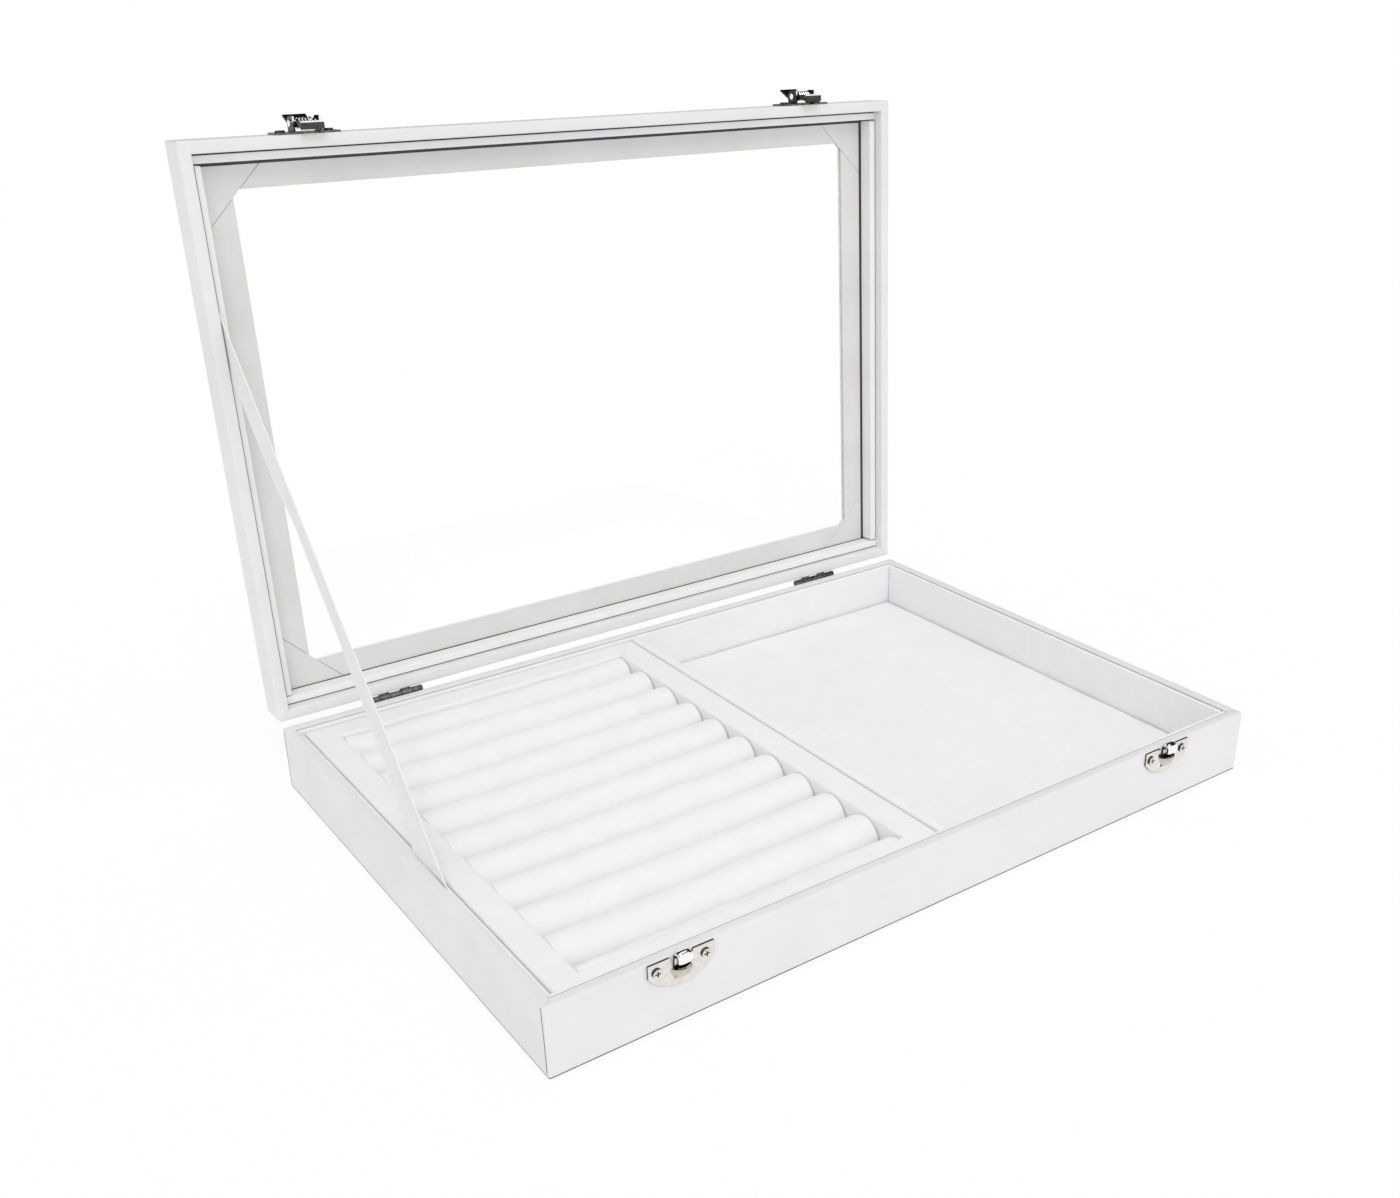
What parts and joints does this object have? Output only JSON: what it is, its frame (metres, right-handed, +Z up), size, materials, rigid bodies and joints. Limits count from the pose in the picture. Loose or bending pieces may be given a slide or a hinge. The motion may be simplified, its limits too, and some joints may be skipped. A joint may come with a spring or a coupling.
{
  "type": "ring display box",
  "caption": "Shallow white wrapped case with a glazed hinged lid, a lift-out tray of velvet ring rolls, an open compartment, a ribbon stay and sprung latches.",
  "frame": {"origin": "middle of the underside of the base, on the surface that it stands on", "axes": "+X to the right along the length, +Y to the back where the hinges are, +Z up; the lid is drawn open against its ribbon"},
  "size_m": [0.35, 0.2735, 0.2765],
  "materials": {
    "leatherette_wrap": "fine-grained white leatherette over board",
    "velvet": "short-pile white velvet",
    "tray_board": "matt grey-white board",
    "grey_strip": "smooth warm grey wrap",
    "clear_glass": "clear",
    "nickel": "bright nickel plate",
    "dark_steel": "dull dark steel",
    "satin": "white satin ribbon"
  },
  "bodies": {
    "base": {"base_frame": "leatherette_wrap", "base_bottom": "leatherette_wrap", "liner_front": "velvet", "liner_back": "velvet", "liner_left": "velvet", "liner_right": "velvet", "partition": "velvet", "hinge_base_leaf_left": "nickel", "hinge_base_leaf_right": "nickel", "hinge_pin_left": "dark_steel", "hinge_pin_right": "dark_steel", "strike_left": "nickel", "strike_right": "nickel", "strike_screws": "nickel", "stay_ribbon": "satin"},
    "lid": {"lid_frame": "leatherette_wrap", "glass_pane": "clear_glass", "glass_strip_front": "grey_strip", "glass_strip_back": "grey_strip", "glass_strip_left": "grey_strip", "glass_strip_right": "grey_strip", "glass_corners": "grey_strip", "lid_liner_front": "leatherette_wrap", "lid_liner_back": "leatherette_wrap", "lid_liner_left": "leatherette_wrap", "lid_liner_right": "leatherette_wrap", "hinge_lid_leaf_left": "nickel", "hinge_lid_leaf_right": "nickel", "latch_plate_left": "nickel", "latch_plate_right": "nickel", "latch_pin_left": "nickel", "latch_pin_right": "nickel", "latch_spring_left": "nickel", "latch_spring_right": "nickel", "latch_screws": "nickel"},
    "ring_tray": {"tray_base": "tray_board", "tray_border": "velvet", "ring_roll_01": "velvet", "ring_roll_02": "velvet", "ring_roll_03": "velvet", "ring_roll_04": "velvet", "ring_roll_05": "velvet", "ring_roll_06": "velvet", "ring_roll_07": "velvet", "ring_roll_08": "velvet", "ring_roll_09": "velvet", "ring_roll_10": "velvet", "ring_roll_11": "velvet"},
    "floor_pad": {"compartment_pad": "velvet"},
    "latch_lever_left": {"latch_lever_left": "nickel"},
    "latch_lever_right": {"latch_lever_right": "nickel"}
  },
  "joints": [
    {"name": "lid_hinge", "type": "hinge", "parent": "base", "child": "lid", "pos_m": [0, 0.12176, 0.0285], "axis": [-1, 0, 0], "range_deg": [-92.7, 0], "deforming": ["stay_ribbon"]},
    {"name": "latch_left_press", "type": "hinge", "parent": "lid", "child": "latch_lever_left", "pos_m": [-0.1235, 0.13793, 0.27377], "axis": [-1, 0, 0], "range_deg": [0, 18], "stiffness_Nm_per_rad": 0.0008, "springref_deg": -45.84},
    {"name": "latch_right_press", "type": "hinge", "parent": "lid", "child": "latch_lever_right", "pos_m": [0.1235, 0.13793, 0.27377], "axis": [-1, 0, 0], "range_deg": [0, 18], "stiffness_Nm_per_rad": 0.0008, "springref_deg": -45.84},
    {"name": "ring_tray_lift", "type": "slide", "parent": "base", "child": "ring_tray", "axis": [0, 0, 1], "range_m": [0, 0.045]},
    {"name": "floor_pad_lift", "type": "slide", "parent": "base", "child": "floor_pad", "axis": [0, 0, 1], "range_m": [0, 0.045]}
  ]
}
